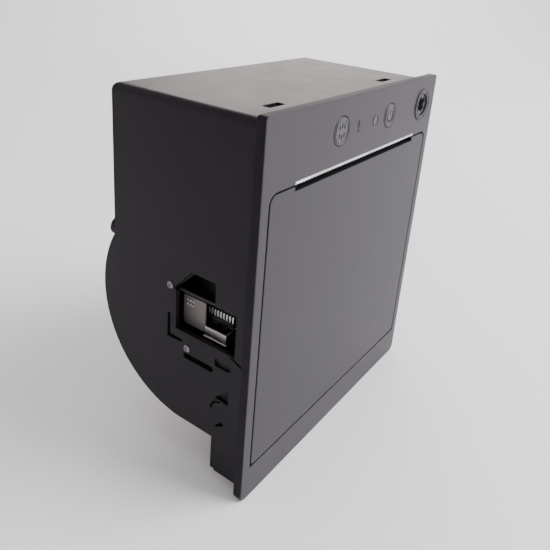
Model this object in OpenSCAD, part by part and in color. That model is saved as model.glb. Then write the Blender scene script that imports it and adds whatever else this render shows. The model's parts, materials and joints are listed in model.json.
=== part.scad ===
// Panel-mounted receipt printer: a box with a roll bucket behind a drop-down door.
// x runs across the front, y runs back into the panel and z runs up.
// y = 0 is the back face of the front flange, and x = z = 0 is the flange's centre.

/* [Flange] */
// Width of the front flange
bezel_w = 115; // [108:1:145]
// Height of the front flange
bezel_h = 131; // [126:1:160]
// Thickness of the front flange
bezel_t = 3.4; // [3:0.1:4.5]
// Radius of the flange's lower corners
bezel_corner_r = 2.5; // [1:0.5:5]

/* [Housing] */
// Depth of the box behind the flange
box_depth = 58.6; // [48.6:1:75.6]
// Wall thickness of the housing
wall = 1.7; // [1.4:0.1:2.1]
// How far the flange stands out past the housing's sides
side_margin = 2.3; // [1.5:0.1:4]
// How far the flange stands out above the housing
top_margin = 1.7; // [1.2:0.1:4]
// How far the flange reaches below the housing's feet
foot_margin = 3.2; // [2:0.1:9]
// Radius along the housing's upper side edges
edge_r = 2.8; // [1.5:0.1:3]

/* [Roll bucket] */
// Outer radius of the drum that holds the roll
drum_r = 39.5; // [37:0.5:44]
// Distance of the drum's axis behind the flange
drum_y = 25.1; // [22:0.1:30]
// Height of the drum's lowest line above the flange's lower edge
drum_lift = 17.3; // [17:0.1:22]
// Clear width between the cheeks, for an 80 mm roll
roll_w = 84; // [81:0.5:84]
// Thickness of the bucket liner
liner_t = 1.3; // [1:0.1:1.6]

/* [Door] */
// Distance from the flange's upper edge down to the door's upper edge
door_drop = 23.1; // [22:0.1:30]
// Height of the door's lower edge above the flange's lower edge
door_lift = 13; // [12:0.1:15]
// Thickness of the door's outer panel
door_t = 2.8; // [2:0.1:3]
// Gap round the door
door_gap = 0.5; // [0.4:0.05:0.8]
// Distance of the door's hinge behind the flange
hinge_y = 9.2; // [8:0.1:10]
// Height of the door's hinge above the flange's lower edge
hinge_lift = 29; // [28:0.5:33]
// Radius of the hinge pins
hinge_pin_r = 2; // [1.5:0.1:2.4]
// Width of the paper slot
slot_w = 82; // [81:0.5:83]
// Height of the paper slot
slot_h = 1.5; // [1:0.1:2]

/* [Printing] */
// Radius of the rubber on the platen roller
platen_r = 6; // [5:0.1:7.2]
// Distance of the platen's axis behind the flange
platen_y = 8; // [8:0.1:9]
// Radius of the platen's shaft
platen_shaft_r = 3; // [2.4:0.1:3.2]
// Gear tooth module
gear_m = 0.8; // [0.65:0.01:0.96]
// Teeth on the platen gear
platen_teeth = 16; // [14:1:17]
// Teeth on the idler gear
idler_teeth = 30; // [26:1:32]
// Teeth on the motor pinion
pinion_teeth = 12; // [11:1:14]

/* [Controls] */
// Distance from the flange's upper edge down to the row of controls
control_drop = 10.7; // [10:0.1:12]
// Distance of each push button from the centre line
button_x = 17.1; // [14:0.1:20]
// Radius of the feed button
feed_r = 4.7; // [4:0.1:6]
// Radius of the power button
power_r = 4.3; // [4:0.1:6]
// Distance of each indicator from the centre line
light_x = 6; // [4:0.1:8]
// Distance of the release key from the centre line
key_x = 45.8; // [45:0.1:46]
// Radius of the release key's ring
key_ring_r = 6.3; // [5.6:0.1:7]
// Travel of the push buttons
button_travel = 1; // [0.5:0.1:1.2]

/* [Hidden] */
$fn = 64;

eps = 0.01;              // overlap of cutting shapes past a face
running = 0.05;          // radial clearance of a shaft in its bore
small_screw_r = 0.9;     // shank of the screws in the boards and the motor
small_head_r = 1.9;      // and their heads
clear = 0.4;             // clearance between pieces that pass each other

// Flange and housing
flange_top = bezel_h / 2;
flange_foot = -bezel_h / 2;
front_y = -bezel_t;
half_w = bezel_w / 2 - side_margin;
inner_w = half_w - wall;
top_z = flange_top - top_margin;
ceiling_z = top_z - wall;
foot_z = flange_foot + foot_margin;
foot_depth = 12.4;
foot_step = [1.8, 1.2];  // step at the rear of each foot's sole
drum_z = flange_foot + drum_lift + drum_r;
drum_floor = drum_z - drum_r;

// Door and its swing
hinge_z = flange_foot + hinge_lift;
door_top = flange_top - door_drop;
door_foot = flange_foot + door_lift;
door_half = inner_w - clear;
door_way = door_half + door_gap;
panel_back = front_y + door_t;
swing_r = norm([hinge_y - front_y, hinge_z - door_foot]);
swing_clear_r = swing_r + clear;
slot_half = slot_w / 2;
arm_t = 2.2;
arm_out = inner_w - 0.9;
arm_in = arm_out - arm_t;

// Controls
control_z = flange_top - control_drop;
button_gap = 0.15;
switch_face = 4.5;
board_face = 8;
board_t = 1.2;
post_x = button_x + feed_r + 6.7;
ring_t = 2;
rotor_r = key_ring_r - ring_t - 0.1;
crank = 1.2;             // throw of the key's crank pin
crank_r = 1;
crank_turn = 45;         // the crank pin starts this far below the key's axis
crank_root = 5;

// Mechanism, built out from the cheeks
cheek_in = roll_w / 2;
cheek_t = 1.5;
cheek_out = cheek_in + cheek_t;
plate_in = cheek_out + 0.4;
plate_t = 1.2;
plate_out = plate_in + plate_t;
hook_in = plate_out + 0.5;
hook_t = 1.8;
ear_in = hook_in + hook_t + 0.5;
ear_t = 2;
gear_in = ear_in + ear_t + 0.5;
gear_t = 2.4;
platen_z = door_top - slot_h - platen_r - 0.6;
platen_half = cheek_in - 1;
mech_floor = platen_z - 9;
mech_front = 3;
mech_back = 52;
shoulder_z = control_z - key_ring_r;
head_face = platen_y + platen_r + 0.3;
head_t = 0.8;
sink_t = 2.5;
sink_back = head_face + head_t + sink_t;
pivot_y = sink_back + 2.9;
pivot_z = platen_z + 15.7;
pivot_r = 1.5;
bar_y = sink_back + 5.4;
bar_z = platen_z + 4;
latch_y = 14.5;
latch_z = control_z + 0.7;
latch_r = 2;

// Gear train
platen_pitch = gear_m * platen_teeth / 2;
idler_pitch = gear_m * idler_teeth / 2;
pinion_pitch = gear_m * pinion_teeth / 2;
idler_dir = 8;           // direction of the idler from the platen
motor_dir = 45;          // direction of the motor from the idler
idler_y = platen_y + (platen_pitch + idler_pitch) * cos(idler_dir);
idler_z = platen_z + (platen_pitch + idler_pitch) * sin(idler_dir);
motor_y = idler_y + (idler_pitch + pinion_pitch) * cos(motor_dir);
motor_z = idler_z + (idler_pitch + pinion_pitch) * sin(motor_dir);
motor_r = 9;
motor_len = 26;
motor_boss_r = 3.4;
motor_shaft_r = 1;
motor_ear = motor_r + 2.6;
post_r = 1.5;

// Main board, hung under the housing's roof
main_t = 1.6;
main_top = ceiling_z - 2.5;
main_front = idler_y + 1;
main_back = box_depth - wall - 1;
main_left = -cheek_in + 1;
main_right = 12;

// Interface bay in the left wall
bay_front = 4.5;
bay_back = 29.6;
bay_top = 2.4;
bay_foot = -13;
notch_front = 13;
notch_back = 23.2;
notch_top = 9.9;
notch_heel = 30.2;
frame_t = 1.6;
card_out = cheek_out + 2.1;
card_t = 1.6;
card_in = card_out - card_t;
card_studs = [6, 34];
card_stud_z = 4;
bay_screws = [[32.1, 2.4], [24.2, -18.5]];
bay_screw_r = 0.7;
bay_head = [1.25, 0.7];  // radius and height of the bay screws' heads
rail_z = [0.7, 1.7];     // rail of the frame that crosses the notch
power_mouth = [[12.8, -22.7], [25.8, -20.5]];

// A shape drawn in (y, z) and carried from x0 to x1.
module along_x(x0, x1)
    translate([x0, 0, 0]) rotate([90, 0, 90]) linear_extrude(x1 - x0) children();

// A shape drawn in (x, z) and carried from y0 to y1.
module along_y(y0, y1)
    translate([0, y1, 0]) rotate([90, 0, 0]) linear_extrude(y1 - y0) children();

// A round bar along x.
module rod_x(x0, x1, y, z, r)
    translate([x0, y, z]) rotate([0, 90, 0]) cylinder(h = x1 - x0, r = r);

// A round bar along y.
module rod_y(y0, y1, x, z, r)
    translate([x, y0, z]) rotate([-90, 0, 0]) cylinder(h = y1 - y0, r = r);

// A box given by its lowest and highest corners.
module block(low, high)
    translate(low) cube(high - low);

// The same child on the left and on the right.
module both_sides() {
    children();
    mirror([1, 0, 0]) children();
}

// A rectangle with upper corners of radius top_r and lower corners of radius low_r.
module soft_rect(low, high, top_r, low_r) {
    size = high - low;
    difference() {
        translate(low) square(size);
        for (i = [0, 1]) {
            translate([low.x + i * size.x, high.y]) mirror([i, 0]) corner_cut(top_r, 1);
            translate([low.x + i * size.x, low.y]) mirror([i, 0]) corner_cut(low_r, 0);
        }
    }
}

// What a fillet takes off a corner at the origin.
module corner_cut(r, up) mirror([0, up]) difference() {
    translate([-eps, -eps]) square([r + eps, r + eps]);
    translate([r, r]) circle(r);
}

// Spur gear outline: involute flanks, short teeth and a little backlash.
pressure = 20;
backlash = 0.1;
function involute_turn(base, r) =
    r <= base ? 0 : let (t = sqrt(pow(r / base, 2) - 1)) t * 180 / PI - atan(t);
function flank(base, pitch, r, half) = half + involute_turn(base, pitch) - involute_turn(base, r);
function tooth_half(teeth, pitch) = 90 / teeth - backlash / 2 / pitch * 180 / PI;
function polar(r, a) = [r * cos(a), r * sin(a)];

module gear_2d(teeth) {
    pitch = gear_m * teeth / 2;
    base = pitch * cos(pressure);
    root = pitch - 1.05 * gear_m;
    tip = pitch + 0.75 * gear_m;
    half = tooth_half(teeth, pitch);
    steps = [0, 0.35, 0.7, 1];
    radii = [for (s = steps) max(base, root) + (tip - max(base, root)) * s];
    polygon([for (i = [0 : teeth - 1]) let (a = i * 360 / teeth) each concat(
        [polar(root, a - flank(base, pitch, base, half))],
        [for (r = radii) polar(r, a - flank(base, pitch, r, half))],
        [for (k = [3 : -1 : 0]) polar(radii[k], a + flank(base, pitch, radii[k], half))],
        [polar(root, a + flank(base, pitch, base, half))])]);
}

// Turn that puts a gear in mesh with one of turn and teeth, seen along dir.
function mesh_turn(turn, teeth, dir, other) = dir + 180 - (turn - dir + 180 / teeth) * teeth / other;
platen_turn = idler_dir;
idler_turn = mesh_turn(platen_turn, platen_teeth, idler_dir, idler_teeth);
pinion_turn = mesh_turn(idler_turn, idler_teeth, motor_dir, pinion_teeth);

module gear(teeth, turn, y, z, bore)
    along_x(gear_in, gear_in + gear_t) translate([y, z]) difference() {
        rotate(turn) gear_2d(teeth);
        circle(bore);
    }

// Side outline of the housing, drawn in by inset.
module housing_side(inset) {
    soft_rect([-edge_r, drum_z], [box_depth - inset, top_z - inset], 1.5, 0.1);
    translate([drum_y, drum_z]) circle(drum_r - inset);
    translate([-edge_r, drum_floor + inset]) square([drum_y + edge_r, drum_r]);
}

// Opening of the interface bay, drawn in by inset.
module bay_outline(inset) {
    translate([bay_front + inset, bay_foot + inset])
        square([bay_back - bay_front - 2 * inset, bay_top - bay_foot - 2 * inset]);
    polygon([
        [notch_front + inset, bay_top - inset - 1], [notch_front + inset, notch_top - inset],
        [notch_back - inset, notch_top - inset], [notch_heel - inset, bay_top],
        [notch_heel - inset, bay_top - inset - 1]
    ]);
}

clip_corner = [33.3, -17.3];       // outer corner of the cable clip's slot
clip_size = [6.7, 9.1];
clip_slot = 1.2;
relief = [[5.8, -19.4], [12.2, -16.6]];
drain = [[5.2, -13.2], [1.2, -14.9], [1.2, -15.7], [6.4, -13.6]];
window_x = [-38.3, 33];
window_y = [7, 10];
window_half = 4;
boss_x = half_w - 5.2;
boss_z = top_z - 51.6;
boss_r = 3.3;
boss_len = 4.6;
boss_bore_r = 1.25;
board_posts = [
    [main_left + 3, main_front + 3], [main_left + 3, main_back - 3], [main_right - 3, main_back - 3]
];

// Foot under the drum, with a step at the rear of its sole.
module foot_side() difference() {
    translate([0, foot_z]) square([foot_depth, drum_floor - foot_z + wall]);
    translate([foot_depth - foot_step.x, foot_z - 1]) square([foot_step.x + 1, foot_step.y + 1]);
}

slit_floor = 0.4;        // what is left of the wall behind the pockets round a hinge pin

// Pockets in the wall's outer face round the boss of a hinge pin, drawn from the pin's axis.
module hinge_relief() {
    polygon([[2.4, 4.9], [-3.2, 10.1], [-3.2, 4.4]]);
    polygon([[2.1, -6.8], [-1.6, -2.6], [-1.8, -4.8]]);
    intersection() {
        difference() {
            circle(4.3);
            circle(3.5);
        }
        square([5, 5]);
    }
}

module main_housing() color("#34333a") {
    difference() {
        union() {
            intersection() {
                along_x(-half_w, half_w) union() {
                    housing_side(0);
                    foot_side();
                }
                along_y(0, drum_y + drum_r + 1)
                    soft_rect([-half_w, foot_z], [half_w, top_z], edge_r, 0.8);
            }
            both_sides() rod_y(box_depth - wall, box_depth + boss_len, boss_x, boss_z, boss_r);
        }
        difference() {
            along_x(-inner_w, inner_w) intersection() {
                union() {
                    housing_side(wall);
                    translate([-1, foot_z - 1]) square([foot_depth + 2, drum_r]);
                }
                translate([-1, foot_z - 2]) square([drum_y + drum_r + 2, bezel_h]);
            }
            for (p = board_posts) translate([p.x, p.y, main_top]) cylinder(h = 4, r = 2.2);
        }
        for (p = board_posts) translate([p.x, p.y, main_top - 1]) cylinder(h = 3, r = small_screw_r);
        rod_x(-inner_w, inner_w, hinge_y, hinge_z, swing_clear_r);
        for (x = window_x)
            block([x - window_half, window_y[0], ceiling_z - 1], [x + window_half, window_y[1], top_z + 1]);
        both_sides() {
            rod_x(inner_w - 1, half_w + 1, hinge_y, hinge_z, hinge_pin_r);
            rod_y(box_depth - wall - 1, box_depth + boss_len + 1, boss_x, boss_z, boss_bore_r);
            along_x(inner_w + slit_floor, half_w + 1) translate([hinge_y, hinge_z]) hinge_relief();
        }
        along_x(-half_w - 1, -inner_w + 1) {
            bay_outline(0);
            translate(clip_corner - [clip_slot, 0]) square([clip_slot, clip_size.y]);
            translate(clip_corner - [clip_size.x, 0]) square([clip_size.x, clip_slot]);
            soft_rect(power_mouth[0], power_mouth[1], 1, 1);
        }
        // Finger relief and drain groove below the bay
        along_x(-half_w - 1, -half_w + 0.9) {
            soft_rect(relief[0], relief[1], 0.8, 0.8);
            polygon(drain);
        }
        for (s = bay_screws) rod_x(-half_w - 1, -inner_w + 1, s[0], s[1], bay_screw_r + 0.2);
    }
}

module front_bezel() color("#6d6c72") {
    hook_half = 3.2;
    difference() {
        union() {
            along_y(front_y, 0)
                soft_rect([-bezel_w / 2, flange_foot], [bezel_w / 2, flange_top], 1.2, bezel_corner_r);
            for (x = window_x) {
                block([x - hook_half, -eps, ceiling_z - 1.6],
                    [x + hook_half, window_y[1] - 0.3, ceiling_z - 0.4]);
                along_x(x - hook_half, x + hook_half) polygon([
                    [window_y[0] + 0.3, ceiling_z - 1], [window_y[0] + 0.3, top_z - 0.7],
                    [window_y[1] - 0.3, ceiling_z - 0.4]
                ]);
            }
            both_sides() rod_y(-eps, board_face, post_x, control_z, 2);
        }
        along_y(front_y - 1, 1)
            soft_rect([-door_way, door_foot - clear], [door_way, door_top + door_gap], 3.4, 1.9);
        rod_x(-door_way, door_way, hinge_y, hinge_z, swing_clear_r);
        rod_y(front_y - 1, 1, -button_x, control_z, feed_r + button_gap);
        rod_y(front_y - 1, 1, button_x, control_z, power_r + button_gap);
        both_sides() rod_y(board_face - 5, board_face + 1, post_x, control_z, small_screw_r);
        along_y(front_y - 1, 1) error_mark();
        rod_y(front_y - 1, 1, light_x, control_z, status_r);
        rod_y(front_y - 1, 1, key_x, control_z, key_ring_r);
        block([-tear_half, front_y - 1, door_top], [tear_half, 1, door_top + door_gap + tear_h]);
    }
}

tear_half = slot_half + 0.3;
tear_h = 1.1;
status_r = 1.7;

// Bar over a dot, the shape of the fault indicator.
module error_mark() translate([-light_x, control_z]) {
    soft_rect([-0.65, -0.6], [0.65, 1.9], 0.5, 0.35);
    translate([0, -1.6]) circle(0.6);
}

module tear_bar() color("#c9cbd0") {
    teeth = 54;
    pitch = 2 * tear_half / teeth;
    low = door_top + door_gap;
    difference() {
        union() {
            block([-tear_half, front_y - 0.1, low], [tear_half, front_y + 1, low + tear_h]);
            block([-tear_half, front_y, low + 0.5], [tear_half, 1, low + tear_h]);
        }
        along_y(front_y - 1, front_y + 2) for (i = [0 : teeth - 1]) translate([-tear_half + i * pitch, low])
            polygon([[0, -0.1], [pitch, -0.1], [pitch, 0], [pitch / 2, 0.45], [0, 0]]);
    }
}

liner_r = drum_r - wall - 0.3;
bucket_top = mech_floor - 0.8;

// Side outline of the roll space, out to radius r.
module roll_outline(r, front) intersection() {
    union() {
        translate([drum_y, drum_z]) circle(r);
        translate([front, drum_z]) square([drum_y + r - front, bezel_h]);
    }
    translate([front, -bezel_h]) square([bezel_h, bezel_h + bucket_top]);
    union() {
        translate([-1, drum_z]) square([box_depth - wall - 0.3 + 1, bezel_h]);
        translate([drum_y, drum_z]) circle(r);
    }
}

module roll_bucket() color("#26262a") {
    spindle_r = 4;
    difference() {
        union() {
            difference() {
                along_x(-cheek_out, cheek_out) roll_outline(liner_r, mech_front);
                along_x(-cheek_in, cheek_in) union() {
                    roll_outline(liner_r - liner_t, mech_front - 1);
                    translate([mech_front - 1, drum_z])
                        square([box_depth - wall - 0.3 - liner_t - mech_front + 1, bezel_h]);
                }
            }
            for (y = card_studs) rod_x(-card_in, -cheek_out + eps, y, card_stud_z, 2.2);
            rod_x(cheek_out - eps, cheek_out + 2, near_end_y, near_end_z, spindle_r);
        }
        rod_x(-inner_w, inner_w, hinge_y, hinge_z, swing_clear_r);
        rod_x(cheek_in - 1, cheek_out + 3, near_end_y, near_end_z, 2);
    }
}

near_end_y = 34;
near_end_z = drum_z - 14;

module hinge_pins() color("#9a9ca0") both_sides() {
    rod_x(arm_in - 0.5, half_w, hinge_y, hinge_z, hinge_pin_r);
}

module key_escutcheon() color("#5c5b62") difference() {
    rod_y(front_y - 0.3, 0, key_x, control_z, key_ring_r);
    rod_y(front_y - 1, 1, key_x, control_z, rotor_r + 0.1);
    for (a = [0 : 60 : 300]) translate([key_x, 0, control_z]) rotate([0, a, 0])
        block([rotor_r + 0.9, front_y - 1, -0.35], [key_ring_r - 0.35, front_y + 0.5, 0.35]);
}

module key_board() color("#1f5a3c") difference() {
    block([-post_x - 2.6, board_face, control_z - 5.8],
        [post_x + 2.6, board_face + board_t, control_z + 5.6]);
    both_sides() rod_y(board_face - 1, board_face + 3, post_x, control_z, 1.1);
}

// A small pan-head screw along y: head at y, shank towards -y.
module key_board_screws() color("#b9bbc0") both_sides() {
    rod_y(board_face + board_t, board_face + board_t + 1.1, post_x, control_z, small_head_r);
    rod_y(board_face - 4, board_face + board_t, post_x, control_z, small_screw_r);
}

module tact_switches() color("#202226") for (x = [-button_x, button_x]) {
    block([x - 3, switch_face + 0.5, control_z - 3], [x + 3, board_face, control_z + 3]);
    rod_y(switch_face, switch_face + 0.5 + eps, x, control_z, 1.7);
}

module indicator_leds() color("#e7e3c8") for (x = [-light_x, light_x])
    block([x - 0.8, board_face - 0.9, control_z - 1.6], [x + 0.8, board_face, control_z + 1.6]);

module error_light() color("#d8562c") {
    along_y(front_y, 0.5) error_mark();
    block([-light_x - 1.6, 0, control_z - 2.6], [-light_x + 1.6, board_face - 1.4, control_z + 2.6]);
}

module status_light() color("#7fb27a") {
    rod_y(front_y, 0.5, light_x, control_z, status_r);
    block([light_x - 1.9, 0, control_z - 2.2], [light_x + 1.9, board_face - 1.4, control_z + 2.2]);
}

// Steel side plate of the print mechanism, in the plane of the right-hand one.
module mech_plate() difference() {
    along_x(plate_in, plate_out) difference() {
        polygon([
            [mech_front, mech_floor], [mech_back, mech_floor], [mech_back, ceiling_z], [24, ceiling_z],
            [24, latch_z + 3.4], [latch_y - 3.6, latch_z + 3.4], [latch_y - 3.6, shoulder_z - 0.5],
            [mech_front, shoulder_z - 0.5]
        ]);
        // Open notch that the platen's shaft drops into
        translate([platen_y, platen_z]) circle(platen_shaft_r + 0.8);
        translate([mech_front - 1, platen_z - platen_shaft_r - 0.8])
            square([platen_y - mech_front + 1, 2 * platen_shaft_r + 1.6]);
        translate([latch_y, latch_z]) circle(latch_r + running);
        translate([pivot_y, pivot_z]) circle(pivot_r);
        // Lightening hole
        translate([mech_back - 8, mech_floor + 8]) circle(4.5);
    }
}

module mech_plate_left() color("#aab0b6") mirror([1, 0, 0]) mech_plate();

module mech_plate_right() color("#aab0b6") difference() {
    mech_plate();
    rod_x(plate_in - 1, plate_out + 1, motor_y, motor_z, motor_boss_r);
    rod_x(plate_in - 1, plate_out + 1, idler_y, idler_z, post_r);
    for (s = [-1, 1]) rod_x(plate_in - 1, plate_out + 1, motor_y + s * motor_ear, motor_z, 1.1);
}

module backing_bar() color("#aab0b6")
    block([-plate_in, bar_y, bar_z - 5], [plate_in, bar_y + 2, bar_z + 6]);

module paper_guide() color("#2b2b30") {
    lip = head_face + 1.3;
    along_x(-plate_in, plate_in) polygon([
        [lip, mech_floor], [mech_back - 8, mech_floor], [mech_back - 8, mech_floor + 1.5],
        [lip + 14, mech_floor + 1.5], [lip, mech_floor + 3]
    ]);
}

module paper_sensor() color("#1c1c20")
    block([-5, head_face + 15.6, mech_floor + 1.5], [5, head_face + 20.6, mech_floor + 4.3]);

module near_end_sensor() color("#1c1c20") difference() {
    block([cheek_out + 2, near_end_y - 4, near_end_z - 4], [cheek_out + 4, near_end_y + 4, near_end_z + 4]);
    rod_x(cheek_out + 1, cheek_out + 3, near_end_y, near_end_z, 1.6);
}

module head_pivot() color("#b9bbc0") rod_x(-plate_out, plate_out, pivot_y, pivot_z, pivot_r);

spring_r = 2.4;
wire_r = 0.35;

module head_springs() color("#c9cbd0") for (x = [-25, 0, 25]) difference() {
    rod_y(sink_back, bar_y, x, bar_z, spring_r);
    rod_y(sink_back - 1, bar_y + 1, x, bar_z, spring_r - 2 * wire_r);
}

module stepper_motor() color("#8f9398") difference() {
    union() {
        rod_x(plate_in - 1.2 - motor_len, plate_in - 1.2 + eps, motor_y, motor_z, motor_r);
        along_x(plate_in - 1.2, plate_in) for (s = [0, 1]) translate([motor_y, motor_z]) mirror([s, 0]) {
            translate([0, -4]) square([motor_ear, 8]);
            translate([motor_ear, 0]) circle(4);
            circle(motor_r);
        }
        rod_x(plate_in - 1, plate_out + 0.6, motor_y, motor_z, motor_boss_r);
    }
    rod_x(plate_in - 12, plate_out + 1, motor_y, motor_z, motor_shaft_r + running);
    for (s = [-1, 1]) rod_x(plate_in - 2, plate_in + 1, motor_y + s * motor_ear, motor_z, small_screw_r);
}

module motor_screws() color("#b9bbc0") for (s = [-1, 1]) {
    rod_x(plate_out, plate_out + 1.2, motor_y + s * motor_ear, motor_z, 2);
    rod_x(plate_in - 1.2, plate_out + eps, motor_y + s * motor_ear, motor_z, small_screw_r);
}

module idler_post() color("#b9bbc0") {
    rod_x(plate_in, gear_in + gear_t + 0.5, idler_y, idler_z, post_r);
    rod_x(plate_out, gear_in - 0.3, idler_y, idler_z, post_r + 1.4);
}

module main_board() color("#1f5a3c") difference() {
    block([main_left, main_front, main_top - main_t], [main_right, main_back, main_top]);
    for (p = board_posts) translate([p.x, p.y, main_top - main_t - 1]) cylinder(h = 4, r = 1.1);
}

module board_screws() color("#b9bbc0") for (p = board_posts) {
    translate([p.x, p.y, main_top - main_t - 1.1]) cylinder(h = 1.1, r = small_head_r);
    translate([p.x, p.y, main_top - main_t]) cylinder(h = main_t + 1.8, r = small_screw_r);
}

module board_chips() color("#17171a") {
    under = main_top - main_t;
    block([-24, main_front + 8, under - 1.4], [-12, main_front + 20, under]);
    for (x = [-6, -0.4, 5.2]) block([x, main_front + 14, under - 1.6], [x + 4, main_front + 19, under]);
    block([-34, main_front + 7, under - 5.5], [-29, main_front + 19, under]);
    block([-8, main_back - 6, under - 5], [4, main_back - 1.5, under]);
}

module board_capacitors() color("#2e3c66") {
    under = main_top - main_t;
    for (i = [0 : 2]) translate([-3 + 6.5 * i, main_front + 6, under - 8]) cylinder(h = 8, r = 2.8);
}

module button_ribbon() color("#d8d5cc") along_x(-14, -2) polygon([
    [board_face + board_t, main_top], [main_front + 6, main_top],
    [main_front + 6, main_top + 0.3], [board_face + board_t, main_top + 0.3]
]);

// Flat cable: a thin band along a few straight runs.
module head_ribbon() color("#d8d5cc") {
    t = 0.3;
    low = mech_floor + 4;
    turn_y = idler_y + 6;
    rise_y = main_front + 13;
    end_z = main_top - main_t - 1.4;
    along_x(-23, -13) polygon([
        [sink_back + 1.6, low], [turn_y, low], [rise_y + t, low + 8], [rise_y + t, end_z],
        [rise_y, end_z], [rise_y, low + 8 + t], [turn_y, low + t], [sink_back + 1.6, low + t]
    ]);
}

module interface_board() color("#1f5a3c") difference() {
    block([-card_out, 3, -24.2], [-card_in, 38, 9]);
    for (y = card_studs) rod_x(-card_out - 1, -card_in + 1, y, card_stud_z, 1);
}

frame_low = [2.6, -24.4];
frame_high = [37, 13];
frame_lip = 0.5;         // the frame shows this far inside the wall's opening
frame_drop = 1.4;        // but clears it by this much at the foot and at the back

module interface_frame() color("#1d1d21") difference() {
    along_x(-inner_w, -inner_w + frame_t) difference() {
        translate(frame_low) square(frame_high - frame_low);
        difference() {
            union() {
                bay_outline(frame_lip);
                translate([bay_front + frame_lip, bay_foot - frame_drop])
                    square([bay_back - bay_front - frame_lip, rail_z[0] - bay_foot] + [frame_drop, frame_drop]);
            }
            translate([bay_front, rail_z[0]]) square([notch_heel - bay_front, rail_z[1] - rail_z[0]]);
        }
        soft_rect(power_mouth[0], power_mouth[1], 1, 1);
    }
    for (s = bay_screws) rod_x(-inner_w - 1, -inner_w + frame_t + 1, s[0], s[1], bay_screw_r);
}

module interface_screws() color("#c9cbd0") for (s = bay_screws) {
    rod_x(-half_w - bay_head[1], -half_w, s[0], s[1], bay_head[0]);
    rod_x(-half_w - eps, -inner_w + frame_t, s[0], s[1], bay_screw_r);
}

// Data socket against the board: its mouth faces up, so the plug comes in through the bay's notch.
usb_out = inner_w - frame_t - 0.4;
usb_y = [11, 20];
usb_top = -9.8;
usb_foot = -13.3;
usb_wall = 0.6;

module usb_socket() color("#c2c6cc") difference() {
    union() {
        block([-usb_out, usb_y[0], usb_foot], [-card_out, usb_y[1], usb_top]);
        block([-usb_out - 0.3, usb_y[0] - 0.5, usb_foot - 0.5],
            [-card_out, usb_y[1] + 0.5, usb_foot + eps]);
    }
    block([-usb_out + usb_wall, usb_y[0] + usb_wall, usb_foot + usb_wall],
        [-card_out - usb_wall, usb_y[1] - usb_wall, usb_top + 1]);
}

pin_pitch = 1.27;
pin_count = 9;
pin_y = 12.4;            // first pin of the row
pin_back = pin_y + pin_pitch * (pin_count - 1);
pin_low = usb_top + 1.7;
pin_high = -5.7;

module pin_header() color("#2a2a2e")
    block([-card_out - 1.7, pin_y - 0.7, usb_top + 0.2], [-card_out, pin_back + 0.7, pin_low]);

module header_pins() color("#d9d4c4") for (y = [pin_y : pin_pitch : pin_back + eps])
    block([-card_out - 1.1, y - 0.25, pin_low], [-card_out - 0.6, y + 0.25, pin_high]);

shield_low = [21.2, -13.6];
shield_high = [31, -2.6];
shield_legs = [24.2, 27.6];

module shield_plate() color("#a7a8ac") {
    face = card_out + 4.4;
    along_x(-face, -face + 0.6) difference() {
        translate(shield_low) square(shield_high - shield_low);
        translate([shield_high.x, shield_low.y]) mirror([1, 0]) corner_cut(1.6, 0);
    }
    for (y = shield_legs) block([-face + 0.6 - eps, y, usb_top], [-card_out, y + 2, usb_top + 0.6]);
}

module power_socket() color("#111113") difference() {
    block([-inner_w + 0.2, power_mouth[0].x + 0.3, power_mouth[0].y + 0.3],
        [-card_out, power_mouth[1].x - 0.3, power_mouth[1].y - 0.3]);
    for (i = [0 : 2]) translate([0, power_mouth[0].x + 1.5 + 3.6 * i, 0])
        block([-inner_w, 0, power_mouth[0].y + 0.6], [-card_out - 1, 2.6, power_mouth[1].y - 0.6]);
}

module door_panel() color("#706f75") difference() {
    along_y(front_y, panel_back)
        soft_rect([-door_half, door_foot], [door_half, door_top], 3, 1.5);
    block([-slot_half, front_y - 1, door_top - slot_h], [slot_half, panel_back + 1, door_top + 1]);
}

bush_r = 4.5;
frame_y = panel_back + 2;

module door_frame() color("#2b2b30") {
    ear_r = 6;
    frame_top = platen_z - platen_r - 1.2;
    arm_r = hinge_pin_r + 2.4;
    rib_gap = (frame_top - hinge_z - 14) / 5;
    difference() {
        union() {
            // Back plate, narrower where the gears run
            block([-ear_in - ear_t, panel_back, hinge_z + 12], [ear_in + ear_t, frame_y, frame_top]);
            block([-arm_out, panel_back, hinge_z - 5], [arm_out, frame_y, hinge_z + 12 + eps]);
            for (i = [0 : 5]) block([-cheek_in + 2, frame_y - eps, hinge_z + 10 + i * rib_gap],
                [cheek_in - 2, frame_y + 1.4, hinge_z + 11 + i * rib_gap]);
            both_sides() {
                along_x(ear_in, ear_in + ear_t) {
                    translate([platen_y, platen_z]) circle(ear_r);
                    translate([panel_back, frame_top - 4])
                        square([platen_y - panel_back, platen_z - frame_top + 3 + ear_r]);
                }
                along_x(arm_in, arm_out) {
                    translate([hinge_y, hinge_z]) circle(arm_r);
                    translate([panel_back, hinge_z - arm_r]) square([hinge_y - panel_back, 2 * arm_r]);
                }
            }
            // Curved lip that carries the front of the roll
            along_x(-cheek_in + 0.6, cheek_in - 0.6) intersection() {
                difference() {
                    translate([drum_y, drum_z]) circle(liner_r);
                    translate([drum_y, drum_z]) circle(liner_r - liner_t);
                }
                translate([hinge_y, hinge_z]) circle(swing_r - 0.2);
                translate([panel_back, -bezel_h]) square([drum_y, bezel_h]);
            }
        }
        both_sides() {
            rod_x(ear_in - 1, ear_in + ear_t + 1, platen_y, platen_z, bush_r);
            rod_x(arm_in - 1, arm_out + 1, hinge_y, hinge_z, hinge_pin_r + running);
        }
    }
}

module platen_bushes() color("#d8c9a0") both_sides() difference() {
    rod_x(ear_in - 0.2, ear_in + ear_t, platen_y, platen_z, bush_r);
    rod_x(ear_in - 1, ear_in + ear_t + 1, platen_y, platen_z, platen_shaft_r + running);
}

shaft_step_r = platen_shaft_r - 0.8;

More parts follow.
